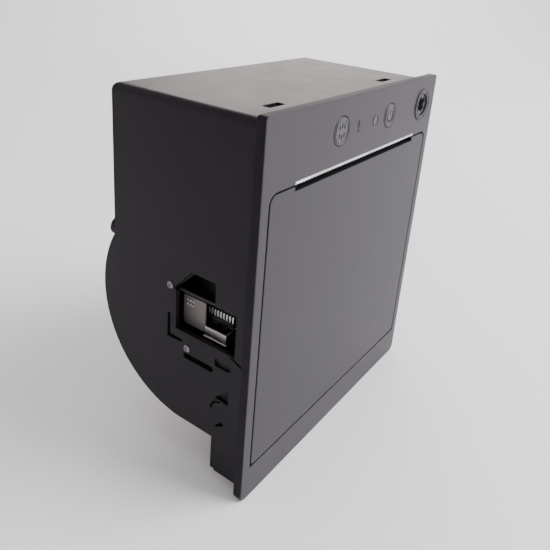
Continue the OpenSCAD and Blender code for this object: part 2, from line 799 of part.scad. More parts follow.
module platen_shaft() color("#b9bbc0") {
    rod_x(-ear_in - ear_t, ear_in + ear_t + 0.2, platen_y, platen_z, platen_shaft_r);
    rod_x(ear_in, gear_in + gear_t + 0.1, platen_y, platen_z, shaft_step_r);
}

module platen_rubber() color("#3a3a3e") difference() {
    rod_x(-platen_half, platen_half, platen_y, platen_z, platen_r);
    rod_x(-platen_half - 1, platen_half + 1, platen_y, platen_z, platen_shaft_r);
}

module platen_gear() color("#e3ddcf") gear(platen_teeth, platen_turn, platen_y, platen_z, shaft_step_r);

module idler_gear() color("#e3ddcf") gear(idler_teeth, idler_turn, idler_y, idler_z, post_r + running);

module motor_shaft() color("#b9bbc0")
    rod_x(plate_in - 11, gear_in + gear_t + 0.4, motor_y, motor_z, motor_shaft_r);

module motor_pinion() color("#cdb26a") gear(pinion_teeth, pinion_turn, motor_y, motor_z, motor_shaft_r);

module head_heatsink() color("#b4b8bd") difference() {
    union() {
        block([-platen_half, head_face + head_t, platen_z - 5], [platen_half, sink_back, pivot_z + 1]);
        both_sides() along_x(platen_half - 3, platen_half) {
            translate([pivot_y, pivot_z]) circle(pivot_r + 1.3);
            translate([sink_back - 1, pivot_z - pivot_r - 1.3])
                square([pivot_y - sink_back + 1, 2 * pivot_r + 2.6]);
        }
    }
    both_sides() rod_x(platen_half - 4, platen_half + 1, pivot_y, pivot_z, pivot_r + running);
}

module print_head() color("#e8e4da")
    block([-platen_half + 0.5, head_face, platen_z - 4],
        [platen_half - 0.5, head_face + head_t, platen_z + 7]);

module latch_shaft() color("#b9bbc0") rod_x(-ear_in - 1.6, ear_in + 1.6, latch_y, latch_z, latch_r);

module hook_2d() {
    seat = platen_z + platen_shaft_r + 0.9;
    difference() {
        union() {
            translate([latch_y, latch_z]) circle(latch_r + 2);
            polygon([
                [latch_y - 3.6, latch_z - 1.6], [latch_y - 5, latch_z - 10], [platen_y - 3.4, seat + 3],
                [platen_y - 3.4, seat], [platen_y - 1, seat], [platen_y + 1.5, seat + 1.4],
                [latch_y - 1, latch_z - 11], [latch_y + 3.2, latch_z - 2.4]
            ]);
        }
        translate([latch_y, latch_z]) circle(latch_r);
    }
}

tab_y = [6, 7.5];
tab_z = control_z - crank * sin(crank_turn);
tab_x = key_x + crank * (1 + cos(crank_turn)) / 2;

module latch_hooks() color("#9a9ca0") {
    both_sides() along_x(hook_in, hook_in + hook_t) hook_2d();
    // Fork that the key's crank pin lifts
    difference() {
        union() {
            block([tab_x - 2.6, tab_y[0], tab_z - 2.2], [tab_x + 2.6, tab_y[1], tab_z + 2.2]);
            along_x(hook_in, hook_in + hook_t) difference() {
                polygon([
                    [tab_y[1] - eps, tab_z - 1.6], [latch_y, latch_z - 3], [latch_y, latch_z + 3],
                    [tab_y[1] - eps, tab_z + 2.2]
                ]);
                translate([latch_y, latch_z]) circle(latch_r);
            }
        }
        block([tab_x - 1.6, tab_y[0] - 1, tab_z - 1.25], [tab_x + 1.6, tab_y[1] - eps, tab_z + 1.25]);
    }
}

module latch_spring() color("#c9cbd0") difference() {
    rod_x(plate_in - 12, plate_in - 2, latch_y, latch_z, latch_r + 1.2);
    rod_x(plate_in - 13, plate_in - 1, latch_y, latch_z, latch_r + 0.3);
}

module key_rotor() color("#4a4950") difference() {
    union() {
        rod_y(front_y + 0.3, 0.2, key_x, control_z, rotor_r);
        rod_y(0.1, 1.3, key_x, control_z, key_ring_r - 0.9);
        rod_y(1.3 - eps, crank_root, key_x, control_z, 3.4);
        translate([key_x, 0, control_z]) rotate([0, crank_turn, 0])
            rod_y(crank_root - eps, tab_y[1] - 0.6, crank, 0, crank_r);
    }
    // Four-pointed socket for the release tool
    along_y(front_y - 1, 0.6) translate([key_x, control_z]) {
        circle(2.3);
        for (a = [35, 125]) rotate(a) square([6.4, 2.8], center = true);
    }
}

// Push button: cap flush with the flange, a collar behind it and a stem to the switch.
module push_button(x, r) {
    rod_y(front_y - 0.1, 0.2, x, control_z, r);
    rod_y(0.1, 1.1, x, control_z, r + 0.8);
    rod_y(1, switch_face - button_travel - 0.15, x, control_z, 1.6);
}

module feed_button() color("#706f75") push_button(-button_x, feed_r);

module power_button() color("#706f75") push_button(button_x, power_r);

main_housing();
front_bezel();
tear_bar();
roll_bucket();
hinge_pins();
key_escutcheon();
key_board();
key_board_screws();
tact_switches();
indicator_leds();
error_light();
status_light();
mech_plate_left();
mech_plate_right();
backing_bar();
paper_guide();
paper_sensor();
near_end_sensor();
head_pivot();
head_springs();
stepper_motor();
motor_screws();
idler_post();
main_board();
board_screws();
board_chips();
board_capacitors();
button_ribbon();
head_ribbon();
interface_board();
interface_frame();
interface_screws();
usb_socket();
pin_header();
header_pins();
shield_plate();
power_socket();
door_panel();
door_frame();
platen_bushes();
platen_shaft();
platen_rubber();
platen_gear();
idler_gear();
motor_shaft();
motor_pinion();
head_heatsink();
print_head();
latch_shaft();
latch_hooks();
latch_spring();
key_rotor();
feed_button();
power_button();
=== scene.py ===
"""Looks of a panel-mounted receipt printer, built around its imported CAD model.

Everything is in metres in the model's own frame: x runs across the front, y runs back into the
panel and z runs up. The origin is the centre of the flange, in the plane of its back face.
"""
import json
import logging
import math
from dataclasses import dataclass
from enum import Enum
from functools import lru_cache
from typing import Sequence

import bmesh
import bpy
import numpy as np
from mathutils import Matrix, Vector


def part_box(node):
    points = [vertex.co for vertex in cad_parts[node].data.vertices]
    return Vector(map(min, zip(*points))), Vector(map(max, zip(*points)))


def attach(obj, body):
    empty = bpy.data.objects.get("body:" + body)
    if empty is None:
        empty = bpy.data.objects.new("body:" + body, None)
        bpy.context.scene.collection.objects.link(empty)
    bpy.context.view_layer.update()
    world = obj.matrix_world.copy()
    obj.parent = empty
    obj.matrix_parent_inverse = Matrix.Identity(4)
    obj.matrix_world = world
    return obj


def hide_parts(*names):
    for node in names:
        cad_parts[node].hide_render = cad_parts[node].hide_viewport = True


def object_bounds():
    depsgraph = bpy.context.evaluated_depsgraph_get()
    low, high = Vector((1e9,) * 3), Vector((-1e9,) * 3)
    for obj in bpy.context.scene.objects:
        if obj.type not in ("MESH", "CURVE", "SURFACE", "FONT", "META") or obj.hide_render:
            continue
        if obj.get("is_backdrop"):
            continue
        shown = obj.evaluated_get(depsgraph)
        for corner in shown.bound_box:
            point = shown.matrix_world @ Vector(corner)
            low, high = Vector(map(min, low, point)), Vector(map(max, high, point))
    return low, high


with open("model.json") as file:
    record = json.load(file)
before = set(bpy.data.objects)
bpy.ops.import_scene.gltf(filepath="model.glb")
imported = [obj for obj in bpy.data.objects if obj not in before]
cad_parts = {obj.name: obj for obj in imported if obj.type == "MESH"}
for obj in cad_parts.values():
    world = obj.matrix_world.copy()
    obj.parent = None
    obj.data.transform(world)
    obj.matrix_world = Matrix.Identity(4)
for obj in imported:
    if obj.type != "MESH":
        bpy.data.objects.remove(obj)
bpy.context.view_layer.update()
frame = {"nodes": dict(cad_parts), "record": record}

LOG = logging.getLogger("printer")
MM = 0.001
WELD = 1e-6
FLAT_DEGREES = 0.3
SHARP_DEGREES = 32.0
SPARED_MARGIN_MM = 0.8

Colour = tuple[float, float, float]


# ---------------------------------------------------------------- shader expressions


class Op(Enum):
    """Math node operations that the shader expressions use."""

    ADD = "ADD"
    SUBTRACT = "SUBTRACT"
    MULTIPLY = "MULTIPLY"
    DIVIDE = "DIVIDE"
    ABOVE = "GREATER_THAN"
    FRACTION = "FRACT"
    SIZE = "ABSOLUTE"


class Value:
    """One output of a material's nodes, with Python's operators written as Math nodes."""

    def __init__(self, shader: "Shader", socket: bpy.types.NodeSocket) -> None:
        """Keeps the output and the shader that it belongs to."""
        self.shader = shader
        self.socket = socket

    def _with(self, op: Op, other: "Value | float | None" = None, swapped: bool = False) -> "Value":
        """Adds one Math node.

        Args:
            op: the node's operation.
            other: the second operand, if the operation has one.
            swapped: whether the second operand comes first.

        Returns:
            The node's result.
        """
        operands = [self] if other is None else [other, self] if swapped else [self, other]
        node = self.shader.node("ShaderNodeMath", {"operation": op.value}, dict(enumerate(operands)))
        return Value(self.shader, node.outputs[0])

    def __add__(self, other: "Value | float") -> "Value":
        """self + other."""
        return self._with(Op.ADD, other)

    def __sub__(self, other: "Value | float") -> "Value":
        """self - other."""
        return self._with(Op.SUBTRACT, other)

    def __rsub__(self, other: float) -> "Value":
        """other - self."""
        return self._with(Op.SUBTRACT, other, swapped=True)

    def __mul__(self, other: "Value | float") -> "Value":
        """self * other."""
        return self._with(Op.MULTIPLY, other)

    def __truediv__(self, other: "Value | float") -> "Value":
        """self / other."""
        return self._with(Op.DIVIDE, other)

    __radd__ = __add__
    __rmul__ = __mul__

    def above(self, level: float) -> "Value":
        """One where self is above level, and nought elsewhere."""
        return self._with(Op.ABOVE, level)

    def fraction(self) -> "Value":
        """The part of self after the decimal point."""
        return self._with(Op.FRACTION)

    def size(self) -> "Value":
        """self without its sign."""
        return self._with(Op.SIZE)


class Shader:
    """The nodes of one material, round its Principled surface."""

    def __init__(self, name: str) -> None:
        """Starts a material of that name."""
        self.material = bpy.data.materials.new(name)
        self.material.use_nodes = True
        self.tree = self.material.node_tree
        self.surface = self.tree.nodes["Principled BSDF"]
        place = self.node("ShaderNodeTexCoord")
        self.place = Value(self, place.outputs["Object"])

    def node(self, kind: str, settings: dict | None = None, inputs: dict | None = None) -> bpy.types.Node:
        """Adds a node.

        Args:
            kind: the node's type.
            settings: its properties, set first.
            inputs: values or links of its sockets, by name or number.

        Returns:
            The new node.
        """
        node = self.tree.nodes.new(kind)
        for name, value in (settings or {}).items():
            setattr(node, name, value)
        for key, value in (inputs or {}).items():
            self.feed(node.inputs[key], value)
        return node

    def feed(self, socket: bpy.types.NodeSocket, value: "Value | float | Sequence[float]") -> None:
        """Links a value to a socket, or sets the socket to a plain number or vector."""
        if isinstance(value, Value):
            self.tree.links.new(value.socket, socket)
        else:
            socket.default_value = value

    def set(self, **sockets: "Value | float | Sequence[float]") -> None:
        """Feeds the surface's sockets; an underscore in a name stands for a space."""
        for name, value in sockets.items():
            if isinstance(value, tuple) and len(value) == 3:
                value = (*value, 1.0)
            self.feed(self.surface.inputs[name.replace("_", " ")], value)

    def stretched(self, scale: Colour) -> Value:
        """Object coordinates, multiplied by scale on each axis."""
        node = self.node("ShaderNodeMapping", None, {"Vector": self.place, "Scale": scale})
        return Value(self, node.outputs[0])

    def noise(self, feature_mm: float, detail: float = 2.0, scale: Colour = (1.0, 1.0, 1.0)) -> Value:
        """Smooth noise from 0 to 1.

        Args:
            feature_mm: the size of one lump.
            detail: octaves of finer noise on it.
            scale: multiplies the coordinates on each axis, so a small number draws the lumps out.

        Returns:
            The noise.
        """
        node = self.node(
            "ShaderNodeTexNoise",
            None,
            {"Vector": self.stretched(scale), "Scale": 1.0 / (feature_mm * MM), "Detail": detail},
        )
        return Value(self, node.outputs[0])

    def axis(self, index: int) -> Value:
        """One of the three object coordinates, in metres."""
        node = self.node("ShaderNodeSeparateXYZ", None, {0: self.place})
        return Value(self, node.outputs[index])

    def between(self, factor: Value, first: "Colour | Value", second: "Colour | Value") -> Value:
        """The colour that goes from first to second as factor goes from 0 to 1."""
        sides = [(*side, 1.0) if isinstance(side, tuple) else side for side in (first, second)]
        node = self.node("ShaderNodeMix", {"data_type": "RGBA"}, {0: factor, 6: sides[0], 7: sides[1]})
        return Value(self, node.outputs[2])

    def bump(self, height: Value, depth_mm: float) -> Value:
        """The normal of a surface whose height runs through depth_mm as height goes from 0 to 1."""
        inputs = {"Strength": 1.0, "Distance": depth_mm * MM, "Height": height}
        node = self.node("ShaderNodeBump", None, inputs)
        return Value(self, node.outputs[0])


# ---------------------------------------------------------------- finishes


@dataclass(frozen=True)
class Plastic:
    """Moulded plastic or rubber: an even spark-eroded grain, and gloss and hue that drift a little."""

    name: str
    colour: Colour
    drift: Colour
    roughness: float = 0.42
    grain_mm: float = 0.22
    grain_depth_mm: float = 0.012
    cloud_mm: float = 26.0
    coat: float = 0.0
    gloss: float = 0.5
    # Painted shade: edge is the dark colour given to faces behind the plane at face_mm.
    edge: Colour | None = None
    edge_roughness: float = 0.16
    face_mm: float = 0.0

    def build(self) -> bpy.types.Material:
        """Makes the material.

        Colour mixes the two hues by slow noise, and turns to the edge colour behind the plane of
        the face; that edge colour is painted shade on the sides, top and bottom. Roughness is
        the base plus slow clouds, plus the edge's share behind that plane.
        Height is two sizes of grain together.

        Returns:
            The material.
        """
        shader = Shader(self.name)
        cloud = shader.noise(self.cloud_mm, 3.0)
        grain = shader.noise(self.grain_mm, 1.0)
        coarse = shader.noise(self.grain_mm * 3.5, 1.0)
        smear = shader.noise(self.cloud_mm * 0.35, 4.0, (1.0, 1.0, 0.3))
        colour = shader.between(cloud * 0.7 + smear * 0.3, self.colour, self.drift)
        roughness = self.roughness + (cloud - 0.5) * 0.10 + (smear - 0.5) * 0.08
        # Painted shade: faces behind the front plane (sides, top and bottom) take the dark edge colour.
        if self.edge:
            behind = shader.axis(1).above(self.face_mm * MM)
            colour = shader.between(behind, colour, self.edge)
            roughness = roughness + behind * self.edge_roughness
        shader.set(
            Base_Color=colour,
            Roughness=roughness,
            Normal=shader.bump(grain * 0.6 + coarse * 0.4, self.grain_depth_mm),
            Coat_Weight=self.coat,
            Specular_IOR_Level=self.gloss,
        )
        return shader.material


@dataclass(frozen=True)
class Metal:
    """Bare or plated metal with fine streaks along one axis, and patches that are duller; on the cutter
    steel the bright patches are painted glints.
    """

    name: str
    colour: Colour
    roughness: float = 0.28
    lay: Colour = (0.04, 1.0, 1.0)
    streak_mm: float = 0.12
    streak_depth_mm: float = 0.006
    patch: float = 0.10
    ripple: float = 0.0
    ripple_mm: float = 3.0
    patch_mm: float = 7.0
    # Colour share in the darker patches; on the cutter steel the brighter patches are painted glints.
    dull_and_glint: float = 0.82
    contrast: float = 1.0

    def build(self) -> bpy.types.Material:
        """Makes the material.

        Colour darkens to its darker share across slow patches, whose borders the contrast sharpens;
        on the cutter steel the bright patches between them are painted glints.
        Roughness is the base plus patches plus streaks. Height is the streaks, mixed with long
        ripples by the ripple share.

        Returns:
            The material.
        """
        shader = Shader(self.name)
        streak = shader.noise(self.streak_mm, 2.0, self.lay)
        # Patches of colour: on the cutter steel, with a high contrast, the bright ones are painted glints.
        patch = (shader.noise(self.patch_mm, 3.0) - 0.5) * self.contrast + 0.5
        dull_and_glint = tuple(self.dull_and_glint * channel for channel in self.colour)
        height = streak
        if self.ripple:
            height = streak * (1.0 - self.ripple) + shader.noise(self.ripple_mm, 1.0) * self.ripple
        shader.set(
            Base_Color=shader.between(patch * 0.8 + streak * 0.2, self.colour, dull_and_glint),
            Metallic=1.0,
            Roughness=self.roughness + (patch - 0.5) * (self.patch / self.contrast) + (streak - 0.5) * 0.18,
            Normal=shader.bump(height, self.streak_depth_mm),
        )
        return shader.material


@dataclass(frozen=True)
class SolderMask:
    """Printed circuit board: green mask with slightly raised, paler tracks under it."""

    name: str
    mask: Colour
    track: Colour
    pitch_mm: float = 1.1
    coat: float = 0.35
    gloss: float = 0.5

    def build(self) -> bpy.types.Material:
        """Makes the material.

        A track is where the fraction of a slanted coordinate, pushed aside by slow noise, is
        near the middle of its step, and where a second, slower noise lets tracks run.

        Returns:
            The material.
        """
        shader = Shader(self.name)
        jog = shader.noise(6.0, 0.0)
        along = shader.axis(0) + shader.axis(1) * 0.5 + shader.axis(2)
        step = (along / (self.pitch_mm * MM) + (jog * 4.0)).fraction()
        line = 1.0 - ((step - 0.5).size()).above(0.17)
        track = line * shader.noise(9.0, 1.0).above(0.47)
        weave = shader.noise(0.4, 1.0)
        shader.set(
            Base_Color=shader.between(track, self.mask, self.track),
            Roughness=0.34 + track * -0.08 + weave * 0.06,
            Normal=shader.bump(track * 0.8 + weave * 0.2, 0.02),
            Coat_Weight=self.coat,
            Specular_IOR_Level=self.gloss,
        )
        return shader.material


@dataclass(frozen=True)
class Paper:
    """Matt pale ground for the object to stand on, with a very faint unevenness."""

    name: str
    colour: Colour
    shade: Colour

    def build(self) -> bpy.types.Material:
        """Makes the material from two pale colours mixed by slow noise."""
        shader = Shader(self.name)
        cloud = shader.noise(400.0, 2.0)
        fibre = shader.noise(0.8, 2.0)
        shader.set(
            Base_Color=shader.between(cloud, self.colour, self.shade),
            Roughness=0.72 + fibre * 0.1,
            Normal=shader.bump(fibre, 0.01),
        )
        return shader.material


Finish = Plastic | Metal | SolderMask | Paper


@lru_cache(maxsize=None)
def material_of(finish: Finish) -> bpy.types.Material:
    """The finish's material, made the first time it is asked for."""
    return finish.build()


HOUSING = Plastic("housing_grain", (0.0095, 0.0080, 0.0102), (0.0125, 0.0105, 0.0130), 0.46, 0.28, 0.010,
                  gloss=0.14)
# Painted shade for the flange's and the door's sides, top and bottom, from FACE_DEPTH_MM behind the front.
PAINTED_SIDE_SHADE = (0.010, 0.0085, 0.0105)
FACE_DEPTH_MM = 0.22
FACE_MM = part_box("front_bezel")[0].y / MM + FACE_DEPTH_MM
FLANGE = Plastic("flange_satin", (0.051, 0.048, 0.053), (0.060, 0.058, 0.065), 0.42, 0.20, 0.008,
                 gloss=0.11, edge=PAINTED_SIDE_SHADE, face_mm=FACE_MM)
DOOR = Plastic("door_satin", (0.051, 0.047, 0.053), (0.058, 0.059, 0.065), 0.42, 0.20, 0.008, 34.0,
               gloss=0.09, edge=PAINTED_SIDE_SHADE, face_mm=FACE_MM)
CAP = Plastic("button_satin", (0.047, 0.044, 0.050), (0.058, 0.056, 0.064), 0.36, 0.16, 0.006, gloss=0.32)
KEY = Plastic("key_satin", (0.042, 0.039, 0.044), (0.052, 0.050, 0.056), 0.34, 0.16, 0.006, gloss=0.4)
INK = Plastic("mark_black", (0.006, 0.005, 0.006), (0.010, 0.009, 0.010), 0.6, 0.12, 0.004, 6.0, gloss=0.15)
INNER = Plastic("inner_black", (0.006, 0.006, 0.007), (0.010, 0.009, 0.011), 0.5, 0.35, 0.016, gloss=0.25)
SMALL_BLACK = Plastic("sensor_black", (0.008, 0.008, 0.009), (0.012, 0.012, 0.013), 0.45, 0.12, 0.004, 6.0)
SMOKED_RED = Plastic("lens_dark", (0.007, 0.005, 0.006), (0.010, 0.006, 0.007), 0.5, 0.1, 0.001, 4.0,
                    gloss=0.12)
SMOKED_GREY = Plastic("lens_grey", (0.046, 0.045, 0.049), (0.056, 0.058, 0.062), 0.34, 0.1, 0.001, 4.0,
                     gloss=0.3)
EPOXY = Plastic("led_epoxy", (0.72, 0.66, 0.42), (0.80, 0.76, 0.55), 0.15, 0.1, 0.001, 2.0, 0.5)
SLEEVE = Plastic("capacitor_sleeve", (0.018, 0.022, 0.060), (0.026, 0.032, 0.085), 0.28, 0.2, 0.003, 5.0,
                 0.3)
FILM = Plastic("flat_cable_film", (0.60, 0.58, 0.53), (0.70, 0.69, 0.66), 0.35, 0.6, 0.006, 9.0)
ACETAL = Plastic("gear_acetal", (0.66, 0.61, 0.51), (0.74, 0.70, 0.62), 0.38, 0.3, 0.006, 8.0)
BUSH = Plastic("bush_acetal", (0.46, 0.34, 0.17), (0.56, 0.44, 0.26), 0.36, 0.3, 0.005, 6.0)
RUBBER = Plastic("ground_rubber", (0.026, 0.026, 0.028), (0.040, 0.040, 0.043), 0.68, 0.09, 0.020, 12.0)
CERAMIC = Plastic("head_glaze", (0.70, 0.67, 0.60), (0.78, 0.76, 0.71), 0.18, 0.3, 0.001, 9.0, 0.5)
# Cutter steel: long, sharply bordered bright patches of colour are painted glints.
BLADE = Metal("cutter_steel", (0.92, 0.91, 0.92), 0.22, (1.0, 0.06, 0.06), 0.35, 0.30, 0.24, 0.95, 7.0,
              patch_mm=15.0, dull_and_glint=0.55, contrast=5.0)
PLATE = Metal("zinc_sheet", (0.52, 0.53, 0.56), 0.34, (1.0, 0.05, 1.0), 0.20, 0.006)
SHIELD = Metal("tinned_shield", (0.30, 0.275, 0.265), 0.78, (1.0, 1.0, 0.2), 0.30, 0.010, 0.1)
BAR = Metal("ground_bar", (0.66, 0.67, 0.68), 0.22, (0.03, 1.0, 1.0))
TIN = Metal("socket_tin", (0.62, 0.58, 0.60), 0.30, (1.0, 0.1, 1.0), 0.25, 0.010)
PIN = Metal("pin_tin", (0.86, 0.83, 0.85), 0.55, (1.0, 1.0, 0.2), 0.20, 0.004)
SCREW = Metal("screw_zinc", (0.27, 0.265, 0.28), 0.42, (1.0, 1.0, 1.0), 0.3, 0.004)
WIRE = Metal("spring_wire", (0.60, 0.61, 0.63), 0.25, (1.0, 1.0, 1.0), 0.1, 0.002)
CAN = Metal("motor_can", (0.34, 0.35, 0.37), 0.38, (0.05, 1.0, 1.0), 0.25, 0.005)
BRASS = Metal("pinion_brass", (0.72, 0.52, 0.24), 0.26, (0.05, 1.0, 1.0))
HEATSINK = Metal("heatsink_aluminium", (0.60, 0.61, 0.63), 0.32, (0.05, 1.0, 1.0), 0.2, 0.006)
BOARD = SolderMask("board_mask", (0.010, 0.060, 0.030), (0.030, 0.125, 0.060))
DARK_BOARD = SolderMask("interface_mask", (0.0015, 0.0040, 0.0030), (0.003, 0.009, 0.006), 1.1, 0.0, 0.15)
GROUND = Paper("pale_ground", (0.84, 0.83, 0.84), (0.88, 0.87, 0.885))

SLOT_FINISH: dict[str, Finish] = {
    "housing_plastic": HOUSING,
    "bezel_plastic": FLANGE,
    "door_plastic": DOOR,
    "inner_plastic": INNER,
    "button_plastic": CAP,
    "key_plastic": KEY,
    "sensor_plastic": SMALL_BLACK,
    "blade_steel": BLADE,
    "steel": PLATE,
    "bright_steel": BAR,
    "screws": SCREW,
    "spring_steel": WIRE,
    "motor_can": CAN,
    "board_green": BOARD,
    "lens_red": SMOKED_RED,
    "lens_green": SMOKED_GREY,
    "led_epoxy": EPOXY,
    "capacitor_sleeve": SLEEVE,
    "flat_cable": FILM,
    "bush_plastic": BUSH,
    "roller_rubber": RUBBER,
    "gear_plastic": ACETAL,
    "pinion_brass": BRASS,
    "head_aluminium": HEATSINK,
    "head_ceramic": CERAMIC,
}

SLOT_OF = {part["node"]: part["material_slot"] for part in frame["record"]["subparts"]}
BODY_OF = {
    node: body for body, nodes in frame["record"]["behaviour"]["bodies"].items() for node in nodes
}


# ---------------------------------------------------------------- surfaces


def sweep(start: float, end: float, count: int) -> np.ndarray:
    """Evenly spaced values from start to end, both included."""
    return np.linspace(start, end, count)


def unit(rows: np.ndarray) -> np.ndarray:
    """Each row divided by its length."""
    return rows / np.linalg.norm(rows, axis=-1, keepdims=True)


def grid_faces(rows: int, columns: int, offset: int) -> np.ndarray:
    """Faces of a grid of points whose columns close on themselves.

    Args:
        rows: points along the first parameter.
        columns: points round the second parameter.
        offset: number of the grid's first point.

    Returns:
        One row of four point numbers for each face.
    """
    row, column = np.meshgrid(np.arange(rows - 1), np.arange(columns), indexing="ij")
    here = row * columns + column
    beside = row * columns + (column + 1) % columns
    faces = np.stack([here, beside, beside + columns, here + columns], axis=-1)
    return faces.reshape(-1, 4) + offset


def solid_of(name: str, skins: Sequence[np.ndarray], capped: bool = True) -> bpy.types.Object:
    """Makes one object of skins.

    Each skin is a grid of points (rows, columns, 3) that closes round its columns. Its first and
    last rows are either single points repeated, which are welded, or are left to be capped.

    Args:
        name: the object's name.
        skins: the grids.
        capped: whether open ends are closed.

    Returns:
        The object, with its faces pointing outwards and smooth.
    """
    mesh = bpy.data.meshes.new(name)
    starts = np.cumsum([0] + [skin.shape[0] * skin.shape[1] for skin in skins[:-1]])
    faces = [grid_faces(s.shape[0], s.shape[1], int(first)) for s, first in zip(skins, starts)]
    points = np.concatenate([skin.reshape(-1, 3) for skin in skins])
    mesh.from_pydata(points.tolist(), [], np.concatenate(faces).tolist())
    work = bmesh.new()
    work.from_mesh(mesh)
    bmesh.ops.remove_doubles(work, verts=work.verts, dist=1e-7)
    if capped:
        bmesh.ops.holes_fill(work, edges=work.edges, sides=0)
    bmesh.ops.recalc_face_normals(work, faces=work.faces)
    work.to_mesh(mesh)
    work.free()
    mesh.shade_smooth()
    mesh.set_sharp_from_angle(angle=math.radians(40.0))
    piece = bpy.data.objects.new(name, mesh)
    bpy.context.scene.collection.objects.link(piece)
    return piece


def turned(profile: np.ndarray, centre: Sequence[float], axis: Sequence[float],
           count: int = 48) -> np.ndarray:
    """Surface of revolution.

    A point is the centre, plus its height along the axis, plus its radius times the direction
    that turns with the second parameter round the axis.

    Args:
        profile: rows of (height, radius).
        centre: where height is nought.
        axis: direction of the axis.
        count: points in one turn.

    Returns:
        The grid of points.
    """
    along = unit(np.array(axis, float))
    across = unit(np.cross(along, (0.31, 0.83, 0.47)))
    other = np.cross(along, across)
    turn = sweep(0.0, 2.0 * math.pi, count + 1)[:-1, None]
    spoke = np.cos(turn) * across + np.sin(turn) * other
    height, radius = profile[:, 0, None, None], profile[:, 1, None, None]
    return np.array(centre, float) + height * along + radius * spoke[None]


def tube(path: np.ndarray, across: np.ndarray, radius: np.ndarray | float, count: int = 10) -> np.ndarray:
    """Round tube along a path.

    A point is the path's point, plus the radius times the cosine of the turn along the given
    side direction, plus the radius times its sine along the direction square to that and to
    the path.

    Args:
        path: the points of the centre line.
        across: one direction square to the path at each point.
        radius: the tube's radius, or one for each point.
        count: points round the tube.

    Returns:
        The grid of points.
    """
    ahead = unit(np.gradient(path, axis=0))
    side = unit(across - ahead * np.sum(across * ahead, axis=1, keepdims=True))
    other = np.cross(ahead, side)
    turn = sweep(0.0, 2.0 * math.pi, count + 1)[:-1]
    reach = np.broadcast_to(np.asarray(radius, float), (len(path),))[:, None, None]
    ring = side[:, None] * np.cos(turn)[None, :, None] + other[:, None] * np.sin(turn)[None, :, None]
    return path[:, None] + reach * ring


def pad(centre: Sequence[float], half: tuple[float, float], front: float, back: float,
        corner: float = 4.0, lean: float = 0.0, count: int = 40) -> np.ndarray:
    """Small flat pad in the plane of the front, with a rounded outline and a rounded rim.

    The outline is a superellipse: x and z are the half sizes times the cosine and the sine, each
    to the power 2 / corner. Going outwards it runs flat, turns over the rim and drops to the back.

    Args:
        centre: x and z of the pad's middle.
        half: half its size in x and in z.
        front: y of its face.
        back: y of its back.
        corner: 2 is an ellipse, and more is squarer.
        lean: turn of the pad about the front's normal, in radians.
        count: points round the outline.

    Returns:
        The grid of points.
    """
    turn = sweep(0.0, 2.0 * math.pi, count + 1)[:-1]
    cosine, sine = np.cos(turn), np.sin(turn)
    flat_x = half[0] * np.sign(cosine) * np.abs(cosine) ** (2.0 / corner)
    flat_z = half[1] * np.sign(sine) * np.abs(sine) ** (2.0 / corner)
    rim = min(half) * 0.22
    share = np.array([0.0, 0.5, 1.0 - rim / min(half), 0.96, 1.0, 1.0, 0.0])[:, None]
    depth = np.array([front, front, front, front + 0.3 * rim, front + rim, back, back])[:, None]
    x = share * (flat_x * math.cos(lean) - flat_z * math.sin(lean)) + centre[0]
    z = share * (flat_x * math.sin(lean) + flat_z * math.cos(lean)) + centre[1]
    return np.stack([x, np.broadcast_to(depth, x.shape), z], axis=-1)


def ring(centre: Sequence[float], radius: float, width: float, lift: float,
         span: tuple[float, float] = (0.0, 360.0)) -> np.ndarray:
    """Ring or arc that lies in the plane of the front.

    The centre line is a circle of that radius from the first angle to the last, and the tube
    round it is flattened along y. The ends of an arc close to a point as a half ellipse does.

    Args:
        centre: x, y and z of the ring's middle.
        radius: of its centre line.
        width: of the line in the plane of the front.
        lift: how far it stands out of its plane.
        span: the arc in degrees, from +x towards +z.

    Returns:
        The grid of points.
    """
    count = max(12, int(abs(span[1] - span[0]) / 5.0))
    angle = np.radians(sweep(span[0], span[1], count + 1))
    path = np.stack([np.cos(angle), np.zeros_like(angle), np.sin(angle)], axis=1) * radius
    whole = abs(span[1] - span[0]) >= 360.0
    run = sweep(-1.0, 1.0, count + 1)
    thick = np.ones_like(run) if whole else (1.0 - run**8) ** 0.5
    skin = tube(path, path, thick * width / 2.0, 12)
    if whole:
        skin[-1] = skin[0]
    return skin * (1.0, 2.0 * lift / width, 1.0) + np.array(centre, float)


def coil(start: Sequence[float], end: Sequence[float], radius: float, wire: float, turns: float,
         squeeze: float = 0.12) -> np.ndarray:
    """Helical spring whose ends are closed up and flat.

    The centre line turns evenly. Its place along the axis is even in the middle and slow at both
    ends, so the end turns lie side by side.

    Args:
        start: one end of the axis.
        end: the other end.
        radius: from the axis to the middle of the wire.
        wire: radius of the wire.
        turns: number of turns.
        squeeze: share of the turns that is closed up at each end.

    Returns:
        The grid of points.
    """
    low, high = np.array(start, float), np.array(end, float)
    along = unit(high - low)
    across = unit(np.cross(along, (0.21, 0.37, 0.91)))
    other = np.cross(along, across)
    run = sweep(0.0, 1.0, int(turns * 22))[:, None]
    angle = 2.0 * math.pi * turns * run
    length = float(np.linalg.norm(high - low)) - 2.0 * wire
    ends = 2.0 * wire * turns * squeeze / length
    place = np.interp(run[:, 0], [0.0, squeeze, 1.0 - squeeze, 1.0], [0.0, ends, 1.0 - ends, 1.0])[:, None]
    spoke = np.cos(angle) * across + np.sin(angle) * other
    path = low + along * (wire + length * place) + radius * spoke
    return tube(path, spoke, wire, 8)


# ---------------------------------------------------------------- pieces


